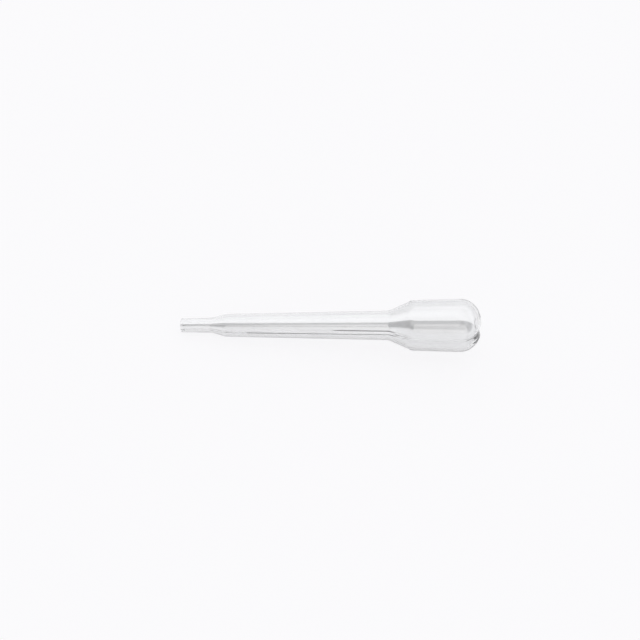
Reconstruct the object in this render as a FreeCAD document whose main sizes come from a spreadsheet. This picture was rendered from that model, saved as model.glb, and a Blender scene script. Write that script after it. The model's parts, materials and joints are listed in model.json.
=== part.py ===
import FreeCAD, Part

# A dropper pipette, blow-moulded in one piece from soft clear polyethylene. Millimetres, +Z up.
#
# The pipette is drawn along its own axis, +X, with the mouth of the tip at the start and the bulb at the far
# end. The two halves of the mould part in the plane of X and Z. It is then laid down as it rests by itself:
# rolled about its axis, and tipped until the front of the stem and the front of the bulb both touch the
# surface. The soft wall takes a small flat at each of the two. The origin is on the surface, below the middle
# of the pipette.

import os
from collections import namedtuple
from enum import IntEnum

import Sketcher
from FreeCAD import Vector

SIZES = [
    ("tip_length", 7.1, "mouth to the foot of the shoulder"),
    ("shoulder_length", 3.2, "foot of the shoulder to the stem"),
    ("stem_length", 37.25, "shoulder to the foot of the neck"),
    ("neck_length", 5.2, "foot of the neck to the bulb"),
    ("bulb_length", 15.25, "neck to the closed end"),
    ("tip_mouth_diameter", 3.2, "outside, at the mouth"),
    ("tip_root_diameter", 3.45, "outside, at the foot of the shoulder"),
    ("stem_front_diameter", 5.2, "outside, at the shoulder"),
    ("stem_back_diameter", 6.7, "outside, at the foot of the neck"),
    ("bulb_front_diameter", 11.4, "outside, at the neck"),
    ("bulb_back_diameter", 12.2, "outside, where the side carried on meets the end"),
    ("bore_diameter", 2.2, "inside of the tip"),
    ("stem_wall", 0.55, "wall of the stem"),
    ("bulb_wall", 0.45, "wall of the bulb, thinner where it was blown wider"),
    ("end_wall", 0.6, "wall of the bulb's end"),
    ("rim_round", 0.2, "outer edge of the mouth"),
    ("bore_round", 0.15, "inner edge of the mouth"),
    ("root_blend", 1.5, "hollow corner between tip and shoulder"),
    ("shoulder_blend", 3.0, "corner between shoulder and stem"),
    ("neck_blend", 1.6, "corner between neck and bulb"),
    ("end_corner", 4.6, "corner between the bulb's side and its end"),
    ("seam_height", 0.08, "parting line, proud of the wall"),
    ("seam_width", 0.25, "parting line, across"),
    ("pinch_depth", 0.8, "pinch mark across the bulb's end, below the end"),
    ("pinch_radius", 1.1, "pinch mark, round bottom"),
    ("pinch_reach", 2.6, "bottom of the pinch mark, outside the bulb's side at its run-out"),
    ("pinch_wall", 0.7, "welded wall under the pinch mark"),
    ("seam_roll", 62.0, "parting plane, turned from upright, in degrees"),
    ("rest_flat", 0.05, "flat that the soft wall takes where it lies, into the wall"),
    ("overrun", 1.0, "hollow, past the mouth, so that it opens cleanly"),
]

STEM_START = "sizes.tip_length + sizes.shoulder_length"
NECK_START = STEM_START + " + sizes.stem_length"
BULB_START = NECK_START + " + sizes.neck_length"
BULB_END = BULB_START + " + sizes.bulb_length"
PINCH_RING = "(sizes.bulb_back_diameter / 2 + sizes.pinch_reach)"

# The pipette can rest on the mouth's rim or the front of the stem, and on the front or the back of the bulb.
NEAR_CONTACTS = ("mouth", "stem_front")
FAR_CONTACTS = ("bulb_front", "bulb_back")

Corner = namedtuple("Corner", "name along radius blend")


class Place(IntEnum):
    """How a sketch's constraints name its origin and axes, and the points of a line or circle."""

    ORIGIN = -1
    X_AXIS = -1
    Y_AXIS = -2
    START = 1
    END = 2
    CENTRE = 3


def make_sizes(doc):
    """Put the driving dimensions in a sheet: name, value and what each one measures."""
    sheet = doc.addObject("Spreadsheet::Sheet", "sizes")
    for row, (name, value, meaning) in enumerate(SIZES, start=1):
        sheet.set(f"A{row}", name)
        sheet.set(f"B{row}", str(value))
        sheet.setAlias(f"B{row}", name)
        sheet.set(f"C{row}", meaning)
    doc.recompute()


def sketch_on(body, name, role):
    """A new sketch on one of the body's own origin planes."""
    plane = next(item for item in body.Origin.OriginFeatures if item.Role == role)
    sketch = body.newObject("Sketcher::SketchObject", name)
    sketch.AttachmentSupport = [(plane, "")]
    sketch.MapMode = "FlatFace"
    return sketch


def bind(sketch, kind, elements, name, expression, driving=True):
    """Add a named dimension, set by the expression, or one that is only measured."""
    start_value = sketch.evalExpression(expression) if driving else 1.0
    index = sketch.addConstraint(Sketcher.Constraint(kind, *elements, start_value))
    sketch.renameConstraint(index, name)
    if driving:
        sketch.setExpression(f"Constraints.{name}", expression)
    else:
        sketch.setDriving(index, False)


def place_corner(sketch, line, corner):
    """Hold the start of a line at the corner's distance along the axis and radius from it."""
    for kind, axis, direction, expression in (
        ("DistanceX", Place.Y_AXIS, "along", corner.along),
        ("DistanceY", Place.X_AXIS, "radius", corner.radius),
    ):
        if expression == "0":
            sketch.addConstraint(Sketcher.Constraint("PointOnObject", line, Place.START, axis))
        else:
            ends = (Place.ORIGIN, Place.START, line, Place.START)
            bind(sketch, kind, ends, f"{corner.name}_{direction}", expression)


def round_corner(sketch, line, corner):
    """Round the corner where a line starts, and return the new arc's place in the sketch."""
    sketch.fillet(line, Place.START, sketch.evalExpression(corner.blend), True, True)
    arc = max(i for i, shape in enumerate(sketch.Geometry) if isinstance(shape, Part.ArcOfCircle))
    bind(sketch, "Radius", (arc,), f"{corner.name}_blend", corner.blend)
    return arc


def draw_outline(body, name, corners):
    """Draw half of a lengthwise section as a closed outline. Returns the sketch and its arcs by corner."""
    sketch = sketch_on(body, name, "XZ_Plane")
    points = [Vector(sketch.evalExpression(c.along), sketch.evalExpression(c.radius), 0) for c in corners]
    following = points[1:] + points[:1]
    for point, next_point in zip(points, following):
        sketch.addGeometry(Part.LineSegment(point, next_point), False)
    for line in range(len(points)):
        next_line = (line + 1) % len(points)
        sketch.addConstraint(Sketcher.Constraint("Coincident", line, Place.END, next_line, Place.START))
    for line, corner in enumerate(corners):
        place_corner(sketch, line, corner)
    arcs = {c.name: round_corner(sketch, line, c) for line, c in enumerate(corners) if c.blend}
    return sketch, arcs


def outer_corners(proud="0"):
    """The outside of the pipette, from the mouth to the bulb's end, or a line that stands proud of it."""
    return [
        Corner("mouth_middle", "0", "0", None),
        Corner("mouth", "0", f"sizes.tip_mouth_diameter / 2 + {proud}", "sizes.rim_round"),
        Corner("tip_root", "sizes.tip_length", f"sizes.tip_root_diameter / 2 + {proud}", "sizes.root_blend"),
        Corner("stem_front", STEM_START, f"sizes.stem_front_diameter / 2 + {proud}", "sizes.shoulder_blend"),
        Corner("stem_back", NECK_START, f"sizes.stem_back_diameter / 2 + {proud}", None),
        Corner("bulb_front", BULB_START, f"sizes.bulb_front_diameter / 2 + {proud}", "sizes.neck_blend"),
        Corner("bulb_back", BULB_END, f"sizes.bulb_back_diameter / 2 + {proud}", "sizes.end_corner"),
        Corner("end_middle", BULB_END, "0", None),
    ]


def hollow_corners():
    """The inside of the pipette, and a plug outside the mouth whose edge gives the bore its rounded lip."""
    plug_radius = "sizes.tip_mouth_diameter / 2 + sizes.overrun"
    stem_inside = "sizes.stem_front_diameter / 2 - sizes.stem_wall"
    neck_inside = "sizes.stem_back_diameter / 2 - sizes.stem_wall"
    bulb_inside = "sizes.bulb_front_diameter / 2 - sizes.bulb_wall"
    back_inside = "sizes.bulb_back_diameter / 2 - sizes.bulb_wall"
    inside_end = BULB_END + " - sizes.end_wall"
    return [
        Corner("plug_middle", "-sizes.overrun", "0", None),
        Corner("plug_back", "-sizes.overrun", plug_radius, None),
        Corner("plug_front", "0", plug_radius, None),
        Corner("mouth", "0", "sizes.bore_diameter / 2", "sizes.bore_round"),
        Corner("bore_end", "sizes.tip_length", "sizes.bore_diameter / 2", None),
        Corner("stem_front", STEM_START, stem_inside, "sizes.shoulder_blend - sizes.stem_wall"),
        Corner("stem_back", NECK_START, neck_inside, None),
        Corner("bulb_front", BULB_START, bulb_inside, "sizes.neck_blend - sizes.bulb_wall"),
        Corner("bulb_back", inside_end, back_inside, "sizes.end_corner - sizes.bulb_wall"),
        Corner("end_middle", inside_end, "0", None),
    ]


def add_rest_line(sketch, name, near_arc, far_arc):
    """Lay a straight edge on two of the outline's arcs, and measure its slope and distance from the mouth."""
    arcs = [sketch.Geometry[near_arc], sketch.Geometry[far_arc]]
    tops = [arc.Center + Vector(0, arc.Radius, 0) for arc in arcs]
    edge = sketch.addGeometry(Part.LineSegment(*tops), True)
    sketch.addConstraint(Sketcher.Constraint("Tangent", edge, Place.START, near_arc))
    sketch.addConstraint(Sketcher.Constraint("Tangent", edge, Place.END, far_arc))
    bind(sketch, "Angle", (edge,), f"{name}_slope", None, driving=False)
    bind(sketch, "Distance", (Place.ORIGIN, Place.START, edge), f"{name}_height", None, driving=False)


def revolve(body, kind, name, sketch, axis, degrees):
    """Turn a sketch about one of its lines, to add material or to cut it away."""
    feature = body.newObject(kind, name)
    feature.Profile = sketch
    feature.ReferenceAxis = (sketch, [axis])
    feature.Midplane = True
    feature.Angle = degrees
    body.Tip = feature
    return feature


def cut_pinch(body, name, radius):
    """Cut a round-bottomed channel over the bulb's end, along the parting plane, to run out at both sides."""
    sketch = sketch_on(body, name + "_section", "XY_Plane")
    ring_middle = f"{BULB_END} - sizes.pinch_depth - {PINCH_RING}"
    section_middle = f"{BULB_END} - sizes.pinch_depth + sizes.pinch_radius"
    here = Vector(sketch.evalExpression(ring_middle), 0, 0)
    there = Vector(sketch.evalExpression(section_middle), 0, 0)
    axle = sketch.addGeometry(Part.LineSegment(here, here + Vector(0, 1, 0)), True)
    section = sketch.addGeometry(Part.Circle(there, Vector(0, 0, 1), sketch.evalExpression(radius)), False)
    sketch.addConstraint(Sketcher.Constraint("PointOnObject", axle, Place.START, Place.X_AXIS))
    sketch.addConstraint(Sketcher.Constraint("Vertical", axle))
    sketch.addConstraint(Sketcher.Constraint("PointOnObject", section, Place.CENTRE, Place.X_AXIS))
    bind(sketch, "DistanceY", (axle, Place.START, axle, Place.END), "axle_length", "sizes.pinch_radius")
    origin = (Place.ORIGIN, Place.START)
    bind(sketch, "DistanceX", (*origin, axle, Place.START), "ring_middle", ring_middle)
    bind(sketch, "DistanceX", (*origin, section, Place.CENTRE), "section_middle", section_middle)
    bind(sketch, "Radius", (section,), "section_radius", radius)
    return revolve(body, "PartDesign::Groove", name, sketch, "Axis0", 180)


def add_parting_line(body):
    """Raise the fine line that the mould's joint leaves along both sides."""
    sketch, _ = draw_outline(body, "parting_line_section", outer_corners("sizes.seam_height"))
    line = body.newObject("PartDesign::Pad", "parting_line")
    line.Profile = sketch
    line.Midplane = True
    line.setExpression("Length", "sizes.seam_width")
    body.Tip = line
    other_side = body.newObject("PartDesign::Mirrored", "parting_line_pair")
    other_side.Originals = [line]
    other_side.MirrorPlane = (next(f for f in body.Origin.OriginFeatures if f.Role == "XY_Plane"), [""])
    body.Tip = other_side


def make_outer_form(doc):
    """The outside of the pipette as if it were solid."""
    body = doc.addObject("PartDesign::Body", "outer_form")
    sketch, arcs = draw_outline(body, "outer_section", outer_corners())
    for near in NEAR_CONTACTS:
        for far in FAR_CONTACTS:
            add_rest_line(sketch, f"{near}_{far}", arcs[near], arcs[far])
    revolve(body, "PartDesign::Revolution", "outer_turned", sketch, "H_Axis", 360)
    add_parting_line(body)
    doc.recompute()
    before = body.Shape.Volume
    cut_pinch(body, "pinch_mark", "sizes.pinch_radius")
    doc.recompute()
    if body.Shape.Volume >= before:
        raise RuntimeError("the pinch mark cuts nothing from the bulb's end")
    return body


def make_hollow(doc):
    """The space inside, which keeps clear of the weld under the pinch mark."""
    body = doc.addObject("PartDesign::Body", "hollow")
    sketch, _ = draw_outline(body, "hollow_section", hollow_corners())
    revolve(body, "PartDesign::Revolution", "hollow_turned", sketch, "H_Axis", 360)
    doc.recompute()
    before = body.Shape.Volume
    cut_pinch(body, "weld", "sizes.pinch_radius + sizes.pinch_wall")
    doc.recompute()
    if body.Shape.Volume >= before:
        raise RuntimeError("the weld takes nothing from the hollow")
    return body


def steeper(near):
    """Slope and height of the line that clears both ends of the bulb, from one of the near contacts."""
    front, back = (f"outer_section.Constraints.{near}_{far}" for far in FAR_CONTACTS)
    slope = f"max({front}_slope; {back}_slope)"
    height = f"({front}_slope > {back}_slope ? {front}_height : {back}_height)"
    return slope, height


def make_laid_moulding(doc):
    """Hollow out the form, and lay it down on the two places that the surface meets."""
    moulding = doc.addObject("Part::Cut", "laid_moulding")
    moulding.Base = make_outer_form(doc)
    moulding.Tool = make_hollow(doc)
    (mouth_slope, mouth_height), (stem_slope, stem_height) = map(steeper, NEAR_CONTACTS)
    tilt = f"min({mouth_slope}; {stem_slope})"
    height = f"({mouth_slope} < {stem_slope} ? {mouth_height} : {stem_height}) - sizes.rest_flat * 1 mm"
    end_flat = "(sizes.bulb_back_diameter / 2 - sizes.end_corner)"
    reach = f"(({BULB_END}) * cos({tilt}) + ({end_flat} - sizes.tip_mouth_diameter / 2) * sin({tilt}))"
    place = f"vector(-{reach} / 2; 0; {height})"
    moulding.setExpression("Placement", f"placement({place}; rotation(0; -{tilt}; sizes.seam_roll))")
    return moulding


def make_pipette(doc):
    """Press the two places that it lies on flat against the surface, no further than through the wall."""
    surface = doc.addObject("Part::Box", "surface")
    surface.setExpression("Length", f"2 * ({BULB_END})")
    surface.setExpression("Width", "2 * sizes.bulb_back_diameter")
    surface.setExpression("Height", "sizes.bulb_wall")
    corner = "vector(-surface.Length / 2; -surface.Width / 2; -surface.Height)"
    surface.setExpression("Placement", f"placement({corner}; rotation(0; 0; 0))")
    pipette = doc.addObject("Part::Cut", "pipette")
    pipette.Label = "pipette"
    pipette.Base = make_laid_moulding(doc)
    pipette.Tool = surface
    return pipette


def check_document(doc, subparts):
    """Stop before anything is written if a feature failed or a sub-part has no sound shape."""
    for item in doc.Objects:
        if "Invalid" in item.State or "Error" in item.State:
            raise RuntimeError(f"{item.Name} did not compute: {item.State}")
    for subpart in subparts:
        if subpart.Shape.isNull() or not subpart.Shape.isValid():
            raise RuntimeError(f"{subpart.Label} has no sound shape")


def main():
    doc = FreeCAD.newDocument("dropper_pipette")
    make_sizes(doc)
    subparts = [make_pipette(doc)]
    doc.recompute()
    check_document(doc, subparts)
    os.makedirs("parts", exist_ok=True)
    for subpart in subparts:
        subpart.Shape.exportStep(os.path.join("parts", f"{subpart.Label}.step"))
        box = subpart.Shape.optimalBoundingBox(False)
        print(f"{subpart.Label}: {subpart.Shape.Volume:.2f} mm3,",
              f"x {box.XMin:.3f} to {box.XMax:.3f}, y {box.YMin:.3f} to {box.YMax:.3f},",
              f"z {box.ZMin:.3f} to {box.ZMax:.3f}, lying {doc.laid_moulding.Placement}")


main()
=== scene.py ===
"""A dropper pipette of clear polyethylene, lying on its side on a white table in a light tent.

The pipette is one blow-moulded piece. Its outer and inner skins are lathed from their lengthwise sections, in
millimetres along the pipette's own axis. The mould's parting line and the pinch mark across the bulb's end are
worked into them, the two skins are joined at the mouth, and the finished shell is laid down where it rests.
"""

import json
import logging
import math
from collections.abc import Callable
from dataclasses import dataclass, field
from enum import Enum

import bmesh
import bpy
from mathutils import Matrix, Vector

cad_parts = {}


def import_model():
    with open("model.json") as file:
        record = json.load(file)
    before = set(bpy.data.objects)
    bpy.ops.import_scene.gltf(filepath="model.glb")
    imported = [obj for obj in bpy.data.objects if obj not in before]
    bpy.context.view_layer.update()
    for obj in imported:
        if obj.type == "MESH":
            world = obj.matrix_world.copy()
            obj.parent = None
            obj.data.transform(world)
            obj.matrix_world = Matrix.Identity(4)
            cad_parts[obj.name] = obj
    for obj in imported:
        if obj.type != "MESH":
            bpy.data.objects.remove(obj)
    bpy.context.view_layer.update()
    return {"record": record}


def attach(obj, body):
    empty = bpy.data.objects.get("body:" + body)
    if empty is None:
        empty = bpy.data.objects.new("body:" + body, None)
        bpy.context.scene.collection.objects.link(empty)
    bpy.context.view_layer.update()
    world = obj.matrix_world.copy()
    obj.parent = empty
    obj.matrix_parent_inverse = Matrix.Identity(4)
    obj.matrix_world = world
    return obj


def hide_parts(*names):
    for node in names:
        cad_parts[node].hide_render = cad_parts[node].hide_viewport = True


LOG = logging.getLogger("dropper_pipette")
MM = 0.001
WELD = 1e-3  # millimetres: vertices this close become one
TOUCH = 1e-3  # millimetres: a vertex this close lies on the plane

# A Mix node's colours share their names with its other sockets, so they are taken by number.
MIX_FIRST = 6
MIX_SECOND = 7
MIX_RESULT = 2

Colour = tuple[float, float, float, float]


class Side(Enum):
    """The two sides of the pipette's axis in the parting plane."""

    NEAR = 1.0
    FAR = -1.0


class Falloff(Enum):
    """How a move made in edit mode fades with distance from what is selected."""

    SMOOTH = "SMOOTH"
    SHARP = "SHARP"


@dataclass(frozen=True)
class Corner:
    """One corner of a lengthwise section, in millimetres.

    Args:
        along: distance from the mouth, along the axis.
        radius: distance from the axis.
        blend: radius of the arc that rounds the corner.
        spacing: greatest distance between the rings that lead up to the corner.
    """

    along: float
    radius: float
    blend: float = 0.0
    spacing: float = 1.0

    @property
    def place(self) -> Vector:
        """The corner in the plane of X and Z, where sections are drawn."""
        return Vector((self.along, 0.0, self.radius))


@dataclass(frozen=True)
class PinchStroke:
    """One push along the parting plane over the bulb's end, in millimetres.

    Args:
        reach: how far back from the bulb's end the push still has its full depth.
        depth: how far it goes in.
        spread: how far to each side it fades out.
        past: how far it runs past the middle of the end.
    """

    reach: float
    depth: float
    spread: float
    past: float = 0.0


@dataclass(frozen=True)
class Ridge:
    """One layer of a ridge along the parting line, in millimetres.

    Args:
        start: where it starts, from the mouth.
        end: where it ends.
        height: what it adds to the ridge.
        spread: how far to each side it fades out.
        aside: how far below the parting plane it lies.
        falloff: how it fades out.
        side: on which side of the pipette it runs.
    """

    start: float
    end: float
    height: float
    spread: float
    aside: float = 0.0
    falloff: Falloff = Falloff.SMOOTH
    side: Side = Side.NEAR


def deselect_objects() -> None:
    """Leave nothing selected, the frame's own nodes included."""
    bpy.ops.object.select_all(action="DESELECT")


def edit(piece: bpy.types.Object) -> None:
    """Make one piece the only one selected, and enter edit mode on it.

    Args:
        piece: the mesh object to edit.
    """
    deselect_objects()
    piece.select_set(True)
    bpy.context.view_layer.objects.active = piece
    bpy.ops.object.mode_set(mode="EDIT")


def finish_editing() -> None:
    """Go back to object mode."""
    bpy.ops.object.mode_set(mode="OBJECT")


def select_vertices(piece: bpy.types.Object, chosen: Callable[[Vector], bool]) -> None:
    """Select the vertices whose place passes a test, in edit mode.

    Args:
        piece: the mesh object that is being edited.
        chosen: takes a vertex's place and says whether it is selected.
    """
    bpy.ops.mesh.select_mode(type="VERT")
    mesh = bmesh.from_edit_mesh(piece.data)
    for vertex in mesh.verts:
        vertex.select_set(chosen(vertex.co))
    mesh.select_flush_mode()
    bmesh.update_edit_mesh(piece.data)


def select_edges(piece: bpy.types.Object, chosen: Callable[[Vector], bool]) -> None:
    """Select the edges whose two ends both pass a test, in edit mode.

    Args:
        piece: the mesh object that is being edited.
        chosen: takes the place of an edge's end and says whether it counts.
    """
    bpy.ops.mesh.select_mode(type="EDGE")
    mesh = bmesh.from_edit_mesh(piece.data)
    for edge in mesh.edges:
        edge.select_set(all(chosen(vertex.co) for vertex in edge.verts))
    bmesh.update_edit_mesh(piece.data)


def calculate(tree: bpy.types.NodeTree, operation: str, *values: bpy.types.NodeSocket | float) -> bpy.types.NodeSocket:
    """Add a Math node.

    Args:
        tree: the node tree that gets it.
        operation: what it does.
        values: what goes in, each a socket or a number.

    Returns:
        The node's value.
    """
    node = tree.nodes.new("ShaderNodeMath")
    node.operation = operation
    for entry, value in zip(node.inputs, values):
        if isinstance(value, bpy.types.NodeSocket):
            tree.links.new(value, entry)
        else:
            entry.default_value = value
    return node.outputs["Value"]


def past(tree: bpy.types.NodeTree, value: bpy.types.NodeSocket, limit: float) -> bpy.types.NodeSocket:
    """Work out how far a value is past a limit.

    Args:
        tree: the node tree that gets the nodes.
        value: the value.
        limit: the limit.

    Returns:
        The distance past the limit, or 0 short of it.
    """
    return calculate(tree, "MAXIMUM", calculate(tree, "SUBTRACT", value, limit), 0.0)


def smooth_step(
    tree: bpy.types.NodeTree, value: bpy.types.NodeSocket, start: float, end: float
) -> bpy.types.NodeSocket:
    """Add a smooth step from 0 to 1.

    Args:
        tree: the node tree that gets it.
        value: what goes in.
        start: the value at which the step is still 0.
        end: the value at which it reaches 1.

    Returns:
        The step's result.
    """
    ramp = tree.nodes.new("ShaderNodeMapRange")
    ramp.interpolation_type = "SMOOTHSTEP"
    ramp.inputs["From Min"].default_value = start
    ramp.inputs["From Max"].default_value = end
    tree.links.new(value, ramp.inputs["Value"])
    return ramp.outputs["Result"]


def mix_colours(
    tree: bpy.types.NodeTree,
    share: bpy.types.NodeSocket,
    first: bpy.types.NodeSocket | Colour,
    second: bpy.types.NodeSocket | Colour,
) -> bpy.types.NodeSocket:
    """Mix two colours.

    Args:
        tree: the node tree that gets the node.
        share: share of the second colour, from 0 to 1.
        first: the first colour.
        second: the second colour.

    Returns:
        The mixed colour.
    """
    mix = tree.nodes.new("ShaderNodeMix")
    mix.data_type = "RGBA"
    tree.links.new(share, mix.inputs["Factor"])
    for number, colour in ((MIX_FIRST, first), (MIX_SECOND, second)):
        if isinstance(colour, bpy.types.NodeSocket):
            tree.links.new(colour, mix.inputs[number])
        else:
            mix.inputs[number].default_value = colour
    return mix.outputs[MIX_RESULT]


class SectionPen:
    """Draws a lengthwise section by extruding one vertex from place to place."""

    ARC_STEPS = 6

    def __init__(self, name: str, corners: list[Corner]) -> None:
        """Draw the section through all its corners, and stay in edit mode.

        Args:
            name: the new object's name.
            corners: the section's corners, from one end to the other.
        """
        deselect_objects()
        bpy.ops.mesh.primitive_plane_add(size=1.0)
        self.piece = bpy.context.active_object
        self.piece.name = name
        edit(self.piece)
        bpy.ops.mesh.select_all(action="SELECT")
        bpy.ops.mesh.merge(type="CENTER")
        self.place = corners[0].place
        bpy.ops.transform.translate(value=self.place)
        for before, corner, after in zip(corners, corners[1:], corners[2:]):
            self.round_corner(before, corner, after)
        self.line_to(corners[-1].place, corners[-1].spacing)

    def line_to(self, place: Vector, spacing: float) -> None:
        """Extrude in even steps to a place.

        Args:
            place: where the line ends.
            spacing: the greatest length of one step.
        """
        run = place - self.place
        steps = max(1, math.ceil(run.length / spacing))
        for _ in range(steps):
            bpy.ops.mesh.extrude_vertices_move(TRANSFORM_OT_translate={"value": run / steps})
        self.place = place

    def round_corner(self, before: Corner, corner: Corner, after: Corner) -> None:
        """Draw up to a corner and round it.

        Args:
            before: the corner that the section comes from.
            corner: the corner that is rounded.
            after: the corner that the section goes to.
        """
        arriving = (corner.place - before.place).normalized()
        leaving = (after.place - corner.place).normalized()
        turn = arriving.angle(leaving)
        if corner.blend == 0.0:
            self.line_to(corner.place, corner.spacing)
            return
        tangent = corner.blend * math.tan(turn / 2)
        self.line_to(corner.place - arriving * tangent, corner.spacing)
        axis = arriving.cross(leaving).normalized()
        centre = self.place + axis.cross(arriving) * corner.blend
        steps = max(self.ARC_STEPS, math.ceil(corner.blend * turn / corner.spacing))
        bpy.ops.mesh.spin(steps=steps, angle=-turn, center=centre, axis=axis)
        self.place = corner.place + leaving * tangent


@dataclass
class PipetteShell:
    """The whole pipette: tip, shoulder, stem, neck and bulb in one thin wall, in millimetres.

    Lengths run along the axis, diameters are outside but for the bore's, and each blend rounds the corner that it is
    named after.

    Args:
        end_spacing: spacing of the rings on the bulb's end.
        seam_width: width of the finer mesh along the near parting line.
        seam_segments: how many strips that width has.
        seam_roll: how far the parting plane is turned from upright, in degrees.
        near_seam: layers of the parting line on the near side, and of the second line beside it.
        far_seam: the parting line on the far side, which is made lower than the near one.
        beads: layers of the rounded bead inside the wall, behind the near parting line.
        pinch: pushes that make the pinch mark in the outer skin.
        weld: pushes that keep the inner skin clear of the pinch mark.
        spin_steps: how many faces go round the pipette.
    """

    tip_length: float = 7.1
    shoulder_length: float = 3.2
    stem_length: float = 37.25
    neck_length: float = 5.2
    bulb_length: float = 15.25
    tip_mouth_diameter: float = 3.2
    tip_root_diameter: float = 3.45
    stem_front_diameter: float = 5.2
    stem_back_diameter: float = 6.7
    bulb_front_diameter: float = 11.4
    bulb_back_diameter: float = 12.2
    bore_diameter: float = 2.2
    stem_wall: float = 0.55
    bulb_wall: float = 0.45
    end_wall: float = 0.6
    rim_round: float = 0.2
    bore_round: float = 0.15
    root_blend: float = 1.5
    shoulder_blend: float = 3.0
    stem_back_blend: float = 2.5
    neck_blend: float = 1.6
    neck_inside_blend: float = 3.5
    end_corner: float = 4.6
    end_spacing: float = 0.15
    seam_width: float = 0.5
    seam_segments: int = 4
    seam_roll: float = 62.0
    near_seam: tuple[Ridge, ...] = (
        Ridge(start=0.6, end=70.0, height=0.01, spread=0.3, falloff=Falloff.SHARP),
        Ridge(start=11.0, end=51.0, height=0.05, spread=0.3),
        Ridge(start=20.0, end=49.5, height=0.05, spread=0.3),
        Ridge(start=15.0, end=51.0, height=0.12, spread=0.25, aside=0.25),
    )
    far_seam: tuple[Ridge, ...] = (Ridge(start=0.6, end=70.0, height=0.02, spread=0.3, side=Side.FAR),)
    beads: tuple[Ridge, ...] = (
        Ridge(start=16.0, end=51.5, height=0.05, spread=0.6),
        Ridge(start=27.0, end=50.5, height=0.08, spread=0.8),
        Ridge(start=35.0, end=49.5, height=0.13, spread=1.0),
    )
    pinch: tuple[PinchStroke, ...] = (
        PinchStroke(reach=3.4, depth=0.2, spread=0.5),
        PinchStroke(reach=2.4, depth=0.7, spread=1.7, past=0.5),
    )
    weld: tuple[PinchStroke, ...] = (PinchStroke(reach=2.0, depth=0.35, spread=1.7),)
    spin_steps: int = 216
    stem_start: float = field(init=False)
    neck_start: float = field(init=False)
    bulb_start: float = field(init=False)
    bulb_end: float = field(init=False)
    first_ring: float = field(init=False)
    lip_radius: float = field(init=False)
    piece: bpy.types.Object = field(init=False)
    laid: Matrix = field(init=False)

    def __post_init__(self) -> None:
        """Work out where each stretch starts, the end's innermost ring and the middle of the mouth's lip."""
        self.stem_start = self.tip_length + self.shoulder_length
        self.neck_start = self.stem_start + self.stem_length
        self.bulb_start = self.neck_start + self.neck_length
        self.bulb_end = self.bulb_start + self.bulb_length
        self.first_ring = self.end_spacing / 2
        lip_outside = self.tip_mouth_diameter / 2 - self.rim_round
        lip_inside = self.bore_diameter / 2 + self.bore_round
        self.lip_radius = (lip_outside + lip_inside) / 2

    def outer_corners(self) -> list[Corner]:
        """The outside, from the middle of the mouth's lip to the middle of the bulb's end."""
        return [
            Corner(0.0, self.lip_radius),
            Corner(0.0, self.tip_mouth_diameter / 2, self.rim_round),
            Corner(self.tip_length, self.tip_root_diameter / 2, self.root_blend),
            Corner(self.stem_start, self.stem_front_diameter / 2, self.shoulder_blend),
            Corner(self.neck_start, self.stem_back_diameter / 2, self.stem_back_blend),
            Corner(self.bulb_start, self.bulb_front_diameter / 2, self.neck_blend),
            Corner(self.bulb_end, self.bulb_back_diameter / 2, self.end_corner, self.end_spacing),
            Corner(self.bulb_end, 0.0, spacing=self.end_spacing),
        ]

    def inner_corners(self) -> list[Corner]:
        """The inside, from the middle of the mouth's lip to the middle of the bulb's end."""
        inside_end = self.bulb_end - self.end_wall
        inside_radius = self.bulb_back_diameter / 2 - self.bulb_wall
        return [
            Corner(0.0, self.lip_radius),
            Corner(0.0, self.bore_diameter / 2, self.bore_round),
            Corner(self.tip_length, self.bore_diameter / 2, self.root_blend),
            Corner(self.stem_start, self.stem_front_diameter / 2 - self.stem_wall, self.shoulder_blend),
            Corner(self.neck_start, self.stem_back_diameter / 2 - self.stem_wall, self.stem_back_blend),
            Corner(self.bulb_start, self.bulb_front_diameter / 2 - self.bulb_wall, self.neck_inside_blend),
            Corner(inside_end, inside_radius, self.end_corner - self.bulb_wall, self.end_spacing),
            Corner(inside_end, 0.0, spacing=self.end_spacing),
        ]

    def lathe(self, name: str, corners: list[Corner]) -> bpy.types.Object:
        """Draw a section and spin it round the pipette's axis, staying in edit mode.

        Args:
            name: the new object's name.
            corners: the section's corners.

        Returns:
            The skin as an open mesh.
        """
        skin = SectionPen(name, corners).piece
        bpy.ops.mesh.select_all(action="SELECT")
        bpy.ops.mesh.spin(steps=self.spin_steps, angle=math.tau, center=(0.0, 0.0, 0.0), axis=(1.0, 0.0, 0.0))
        bpy.ops.mesh.select_all(action="SELECT")
        bpy.ops.mesh.remove_doubles(threshold=WELD)
        bpy.ops.mesh.normals_make_consistent(inside=False)
        return skin

    def raise_parting_line(self, skin: bpy.types.Object) -> None:
        """Bevel the skin's near lengthwise line in the parting plane, and raise it and the far one.

        Args:
            skin: the outer skin, in edit mode.
        """
        select_edges(skin, lambda place: abs(place.y) < TOUCH and place.z > self.first_ring and place.x > TOUCH)
        bpy.ops.mesh.bevel(
            affect="EDGES", offset=self.seam_width / 2, offset_type="OFFSET", segments=self.seam_segments
        )
        self.raise_ridges(skin, self.near_seam, 1.0)
        self.raise_ridges(skin, self.far_seam, 1.0)

    def raise_ridges(self, skin: bpy.types.Object, ridges: tuple[Ridge, ...], way: float) -> None:
        """Raise layers of a ridge along a skin's lines in the parting plane.

        Args:
            skin: the skin, in edit mode.
            ridges: the ridge's layers, one on the other.
            way: 1 to raise them outwards, -1 inwards.
        """
        row_reach = self.seam_width / 20
        for ridge in ridges:
            side = ridge.side.value
            select_vertices(
                skin,
                lambda place: abs(place.y + ridge.aside) < row_reach
                and place.z * side > self.first_ring
                and ridge.start < place.x < ridge.end,
            )
            bpy.ops.transform.translate(
                value=(0.0, 0.0, way * side * ridge.height),
                use_proportional_edit=True,
                proportional_edit_falloff=ridge.falloff.value,
                proportional_size=ridge.spread,
            )

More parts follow.
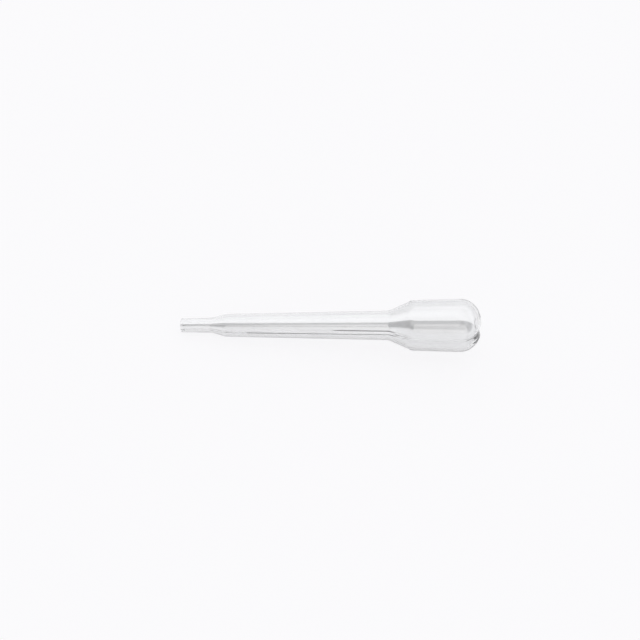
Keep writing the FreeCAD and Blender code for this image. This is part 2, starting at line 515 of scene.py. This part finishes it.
    def press_pinch(self, skin: bpy.types.Object, end: float, strokes: tuple[PinchStroke, ...]) -> None:
        """Push the skin in along the parting plane over the bulb's end.

        Args:
            skin: the skin, in edit mode.
            end: where that skin's end lies.
            strokes: the pushes, one after the other.
        """
        for stroke in strokes:
            select_vertices(
                skin,
                lambda place: abs(place.y) < TOUCH and place.x > end - stroke.reach and place.z > -stroke.past,
            )
            bpy.ops.transform.translate(
                value=(-stroke.depth, 0.0, 0.0),
                use_proportional_edit=True,
                proportional_edit_falloff=Falloff.SMOOTH.value,
                proportional_size=stroke.spread,
            )
            end -= stroke.depth

    def join_skins(self, outer: bpy.types.Object, inner: bpy.types.Object) -> None:
        """Join the two skins at the lip of the mouth into one closed shell.

        Args:
            outer: the outer skin.
            inner: the inner skin.
        """
        deselect_objects()
        inner.select_set(True)
        outer.select_set(True)
        bpy.context.view_layer.objects.active = outer
        bpy.ops.object.join()
        edit(outer)
        bpy.ops.mesh.select_all(action="SELECT")
        bpy.ops.mesh.remove_doubles(threshold=WELD)
        bpy.ops.mesh.normals_make_consistent(inside=False)
        bpy.ops.mesh.select_all(action="DESELECT")
        finish_editing()
        bpy.ops.object.shade_smooth()

    def lay_down(self, mouth: dict) -> None:
        """Turn the shell and lay it where the pipette rests, and flatten what would sink into the table.

        Args:
            mouth: the record's mount at the mouth, which gives the place and the direction of the axis.
        """
        along = -Vector(mouth["axis"]).normalized()
        bore_middle = (self.bore_round + self.tip_length) / 2
        origin = Vector(mouth["pos_m"]) - along * bore_middle * MM
        self.laid = (
            Matrix.Translation(origin)
            @ Matrix.Rotation(-math.asin(along.z), 4, "Y")
            @ Matrix.Rotation(math.radians(self.seam_roll), 4, "X")
            @ Matrix.Scale(MM, 4)
        )
        self.piece.matrix_world = self.laid
        deselect_objects()
        self.piece.select_set(True)
        bpy.ops.object.transform_apply(location=True, rotation=True, scale=True)
        edit(self.piece)
        select_vertices(self.piece, lambda place: place.z < 0.0)
        bpy.ops.transform.resize(value=(1.0, 1.0, 0.0), center_override=(0.0, 0.0, 0.0))
        finish_editing()

    def build(self, mouth: dict) -> None:
        """Build the shell and lay it down.

        Args:
            mouth: the record's mount at the mouth.
        """
        outer = self.lathe("pipette_shell", self.outer_corners())
        self.raise_parting_line(outer)
        self.press_pinch(outer, self.bulb_end, self.pinch)
        finish_editing()
        inner = self.lathe("pipette_inside", self.inner_corners())
        self.raise_ridges(inner, self.beads, -1.0)
        self.press_pinch(inner, self.bulb_end - self.end_wall, self.weld)
        finish_editing()
        self.join_skins(outer, inner)
        self.piece = outer
        self.lay_down(mouth)

    def dress(self, finish: "Polyethylene") -> None:
        """Give the shell its material, and stand it in for the frame's node.

        Args:
            finish: the plastic that it is moulded in.
        """
        self.piece.data.materials.append(finish.material(self.laid))
        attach(self.piece, "root")
        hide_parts("pipette")


@dataclass(frozen=True)
class Polyethylene:
    """Clear soft plastic with a faint cloudy tint and the marks of its moulding.

    Args:
        name: the material's name.
        clear_colour: what the plastic lets through where it is clearest.
        milky_colour: what it lets through where it is cloudiest.
        clearness: share of the light that goes through and isn't scattered.
        refraction: the plastic's refractive index.
        gloss: refractive index of the glossy coat, set well above the plastic's own to strengthen the outlines.
        gloss_roughness: roughness of that coat.
        skin_roughness: roughness of the moulded skin, where smoothest and where dullest.
        seam_roughness: what the parting line adds to it.
        seam_reach: half the width of the parting line's dull band, in millimetres.
        cloud_size: size of the cloudy patches, in millimetres.
        cloud_stretch: how many times longer than wide they are.
        cloud_detail: how many finer layers they have.
        streak_size: spacing of the lengthwise flow lines, in millimetres.
        streak_stretch: how many times longer than wide the flow lines are.
        streak_detail: how many finer layers they have.
        streak_range: the noise's values at which the skin is smoothest and dullest.
        streak_height: how far the flow lines stand proud, in millimetres.
    """

    name: str = "clear_polyethylene"
    clear_colour: Colour = (0.97, 0.97, 0.97, 1.0)
    milky_colour: Colour = (0.90, 0.905, 0.91, 1.0)
    clearness: float = 1.0
    refraction: float = 1.51
    gloss: float = 2.4
    gloss_roughness: float = 0.02
    skin_roughness: tuple[float, float] = (0.01, 0.05)
    seam_roughness: float = 0.04
    seam_reach: float = 0.45
    cloud_size: float = 5.0
    cloud_stretch: float = 2.0
    cloud_detail: float = 3.0
    streak_size: float = 1.1
    streak_stretch: float = 14.0
    streak_detail: float = 2.0
    streak_range: tuple[float, float] = (0.3, 0.7)
    streak_height: float = 0.008

    def mould_place(self, tree: bpy.types.NodeTree, laid: Matrix) -> bpy.types.NodeSocket:
        """Turn the place on the object into millimetres along and across the moulding.

        Args:
            tree: the material's node tree.
            laid: how the moulding is turned and placed.

        Returns:
            The place, with X along the axis from the mouth and Y square to the parting plane.
        """
        place = tree.nodes.new("ShaderNodeTexCoord")
        mapping = tree.nodes.new("ShaderNodeMapping")
        mapping.vector_type = "TEXTURE"
        mapping.inputs["Location"].default_value = laid.to_translation()
        mapping.inputs["Rotation"].default_value = laid.to_euler("XYZ")
        mapping.inputs["Scale"].default_value = laid.to_scale()
        tree.links.new(place.outputs["Object"], mapping.inputs["Vector"])
        return mapping.outputs["Vector"]

    def noise(
        self, tree: bpy.types.NodeTree, place: bpy.types.NodeSocket, size: float, stretch: float, detail: float
    ) -> bpy.types.NodeSocket:
        """Add a noise that can be stretched along the axis.

        Args:
            tree: the material's node tree.
            place: the place in millimetres.
            size: size of the noise's features, in millimetres.
            stretch: how many times longer than wide they are.
            detail: how many finer layers the noise has.

        Returns:
            The noise, from 0 to 1.
        """
        mapping = tree.nodes.new("ShaderNodeMapping")
        mapping.inputs["Scale"].default_value = (1.0 / (size * stretch), 1.0 / size, 1.0 / size)
        texture = tree.nodes.new("ShaderNodeTexNoise")
        texture.inputs["Scale"].default_value = 1.0
        texture.inputs["Detail"].default_value = detail
        tree.links.new(place, mapping.inputs["Vector"])
        tree.links.new(mapping.outputs["Vector"], texture.inputs["Vector"])
        return texture.outputs["Fac"]

    def seam_mask(self, tree: bpy.types.NodeTree, place: bpy.types.NodeSocket) -> bpy.types.NodeSocket:
        """Find the parting line.

        Args:
            tree: the material's node tree.
            place: the place in millimetres.

        Returns:
            1 on the parting line, fading to 0 at its reach.
        """
        parts = tree.nodes.new("ShaderNodeSeparateXYZ")
        tree.links.new(place, parts.inputs["Vector"])
        return smooth_step(tree, calculate(tree, "ABSOLUTE", parts.outputs["Y"]), self.seam_reach, 0.0)

    def material(self, laid: Matrix) -> bpy.types.Material:
        """Build the material.

        Args:
            laid: how the moulding is turned and placed.

        Returns:
            The new material.
        """
        plastic = bpy.data.materials.new(self.name)
        plastic.use_nodes = True
        tree = plastic.node_tree
        shader = tree.nodes["Principled BSDF"]
        shader.inputs["Transmission Weight"].default_value = self.clearness
        shader.inputs["IOR"].default_value = self.refraction
        shader.inputs["Coat IOR"].default_value = self.gloss
        shader.inputs["Coat Roughness"].default_value = self.gloss_roughness
        side = tree.nodes.new("ShaderNodeNewGeometry")
        air_side = calculate(tree, "SUBTRACT", 1.0, side.outputs["Backfacing"])
        tree.links.new(air_side, shader.inputs["Coat Weight"])
        place = self.mould_place(tree, laid)
        clouds = self.noise(tree, place, self.cloud_size, self.cloud_stretch, self.cloud_detail)
        streaks = self.noise(tree, place, self.streak_size, self.streak_stretch, self.streak_detail)
        tint = mix_colours(tree, clouds, self.clear_colour, self.milky_colour)
        tree.links.new(tint, shader.inputs["Base Color"])

        skin = tree.nodes.new("ShaderNodeMapRange")
        skin.inputs["From Min"].default_value, skin.inputs["From Max"].default_value = self.streak_range
        skin.inputs["To Min"].default_value, skin.inputs["To Max"].default_value = self.skin_roughness
        tree.links.new(streaks, skin.inputs["Value"])
        seam = self.seam_mask(tree, place)
        roughness = calculate(tree, "MULTIPLY_ADD", seam, self.seam_roughness, skin.outputs["Result"])
        tree.links.new(roughness, shader.inputs["Roughness"])

        relief = tree.nodes.new("ShaderNodeBump")
        relief.inputs["Strength"].default_value = 1.0
        relief.inputs["Distance"].default_value = self.streak_height * MM
        tree.links.new(streaks, relief.inputs["Height"])
        tree.links.new(relief.outputs["Normal"], shader.inputs["Normal"])
        return plastic


@dataclass
class Studio:
    """The table, the light tent over it and the camera, in metres.

    The tent's roof has one dark gap, whose reflection makes the dark band along the pipette. Its edges are given as
    parts of a direction: Y grows away from the viewer, X towards the bulb and Z upwards.

    Args:
        floor_side: side of the table.
        floor_drop: how far the table lies below the pipette.
        floor_colour: colour of the table where light falls on it.
        backing_colour: the even white that the table and the horizon show.
        evenness: share of the even white in what the camera sees of the table. The rest is lit and shaded.
        plastic_evenness: the same share in what the plastic reflects and lets through.
        tent_colour: light of the tent's back.
        front_colour: light of the tent's front.
        gap_colour: light of the gap.
        gap_back: the gap's back edge, in Y.
        gap_front: the gap's front edge, in Y.
        gap_hem: how wide the back edge fades.
        gap_fade: how wide the front edge fades.
        gap_flare: how far the front edge widens for each part of X past the middle.
        gap_rise: how far the back edge moves back for each part of X past the middle, towards the tip.
        gap_middle: half the length of the straight middle, in X.
        gap_side: where the gap closes at each side, in X.
        gap_foot: where the gap ends above the even horizon, in Z.
        gap_soft: half the width over which its sides and foot fade.
        camera_elevation: the camera's height above the table, in degrees.
        camera_distance: the camera's distance from its aim.
        camera_view: the camera's angle of view, in degrees.
        camera_roll: how far the camera is rolled, in degrees.
        camera_near: the shortest distance at which the camera sees.
        aim: what the camera looks at.
    """

    floor_side: float = 4.0
    floor_drop: float = 0.00002
    floor_colour: Colour = (0.93, 0.93, 0.94, 1.0)
    backing_colour: Colour = (0.975, 0.97, 0.985, 1.0)
    evenness: float = 0.92
    plastic_evenness: float = 0.3
    tent_colour: Colour = (1.35, 1.36, 1.37, 1.0)
    front_colour: Colour = (0.85, 0.84, 0.83, 1.0)
    gap_colour: Colour = (0.02, 0.02, 0.02, 1.0)
    gap_back: float = -0.13
    gap_front: float = -0.39
    gap_hem: float = 0.03
    gap_fade: float = 0.16
    gap_flare: float = 1.0
    gap_rise: float = 0.3
    gap_middle: float = 0.2
    gap_side: float = 0.9
    gap_foot: float = 0.4
    gap_soft: float = 0.1
    camera_elevation: float = 62.0
    camera_distance: float = 0.1715
    camera_view: float = 46.0
    camera_roll: float = 1.95
    camera_near: float = 0.005
    aim: tuple[float, float, float] = (-0.0021, 0.0010, 0.0048)

    def white_table(self) -> bpy.types.Material:
        """Build the white table's material, alike all over, which the plastic shows with the pipette's own shadow.

        Returns:
            The new material.
        """
        table = bpy.data.materials.new("white_table")
        table.use_nodes = True
        tree = table.node_tree
        tree.nodes.clear()
        output = tree.nodes.new("ShaderNodeOutputMaterial")
        blend = tree.nodes.new("ShaderNodeMixShader")
        lit = tree.nodes.new("ShaderNodeBsdfDiffuse")
        backing = tree.nodes.new("ShaderNodeEmission")
        path = tree.nodes.new("ShaderNodeLightPath")
        backing.inputs["Color"].default_value = self.backing_colour
        lit.inputs["Color"].default_value = self.floor_colour
        by_plastic = calculate(tree, "ADD", path.outputs["Is Glossy Ray"], path.outputs["Is Transmission Ray"])
        by_camera = calculate(tree, "MULTIPLY", path.outputs["Is Camera Ray"], self.evenness)
        even = calculate(tree, "MULTIPLY_ADD", by_plastic, self.plastic_evenness, by_camera)
        tree.links.new(even, blend.inputs["Fac"])
        tree.links.new(lit.outputs["BSDF"], blend.inputs[1])
        tree.links.new(backing.outputs["Emission"], blend.inputs[2])
        tree.links.new(blend.outputs["Shader"], output.inputs["Surface"])
        return table

    def add_floor(self) -> None:
        """Lay the white table, a hair below what lies on it."""
        deselect_objects()
        bpy.ops.mesh.primitive_grid_add(
            x_subdivisions=2, y_subdivisions=2, size=self.floor_side, location=(0.0, 0.0, -self.floor_drop)
        )
        floor = bpy.context.active_object
        floor.name = "table_top"
        floor.data.materials.append(self.white_table())

    def light_room(self) -> None:
        """Stand a white light tent over the table, with a gap in its roof towards the front."""
        room = bpy.data.worlds.new("light_tent")
        room.use_nodes = True
        tree = room.node_tree
        direction = tree.nodes.new("ShaderNodeTexCoord")
        parts = tree.nodes.new("ShaderNodeSeparateXYZ")
        tree.links.new(direction.outputs["Generated"], parts.inputs["Vector"])
        sideways, away, up = (parts.outputs[axis] for axis in "XYZ")
        aside = calculate(tree, "ABSOLUTE", sideways)
        towards_tip = calculate(tree, "MULTIPLY", sideways, -1.0)
        flare = calculate(tree, "MULTIPLY", past(tree, aside, self.gap_middle), self.gap_flare)
        rise = calculate(tree, "MULTIPLY", past(tree, towards_tip, self.gap_middle), self.gap_rise)
        flared = calculate(tree, "ADD", away, flare)
        risen = calculate(tree, "SUBTRACT", away, rise)
        hem, fade = self.gap_hem / 2, self.gap_fade / 2
        back = smooth_step(tree, risen, self.gap_back - hem, self.gap_back + hem)
        front = smooth_step(tree, flared, self.gap_front + fade, self.gap_front - fade)
        side = smooth_step(tree, aside, self.gap_side - self.gap_soft, self.gap_side + self.gap_soft)
        foot = smooth_step(tree, up, self.gap_foot + self.gap_soft, self.gap_foot - self.gap_soft)
        shut = calculate(tree, "MAXIMUM", back, calculate(tree, "MAXIMUM", front, side))
        cloth = mix_colours(tree, back, self.front_colour, self.tent_colour)
        roof = mix_colours(tree, shut, self.gap_colour, cloth)
        whole = mix_colours(tree, foot, roof, self.backing_colour)
        tree.links.new(whole, tree.nodes["Background"].inputs["Color"])
        bpy.context.scene.world = room

    def add_camera(self) -> None:
        """Look down on the pipette from in front."""
        elevation = math.radians(self.camera_elevation)
        back = Vector((0.0, -math.cos(elevation), math.sin(elevation)))
        bpy.ops.object.camera_add(location=Vector(self.aim) + back * self.camera_distance)
        camera = bpy.context.active_object
        camera.name = "camera"
        turn = (-back).to_track_quat("-Z", "Y").to_matrix().to_4x4()
        roll = Matrix.Rotation(math.radians(self.camera_roll), 4, "Z")
        camera.rotation_euler = (turn @ roll).to_euler()
        camera.data.angle = math.radians(self.camera_view)
        camera.data.clip_start = self.camera_near
        bpy.context.scene.camera = camera

    def build(self) -> None:
        """Set up everything around the pipette."""
        self.add_floor()
        self.light_room()
        self.add_camera()
        bpy.context.scene.view_settings.view_transform = "Standard"


def main() -> None:
    """Build the pipette and its studio."""
    logging.basicConfig(level=logging.INFO, format="%(name)s: %(message)s")
    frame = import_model()
    mouth = next(mount for mount in frame["record"]["mounts"] if mount["name"] == "tip_mouth")
    shell = PipetteShell()
    shell.build(mouth)
    shell.dress(Polyethylene())
    LOG.info("%s: %d faces", shell.piece.name, len(shell.piece.data.polygons))
    Studio().build()


if __name__ == "__main__":
    main()
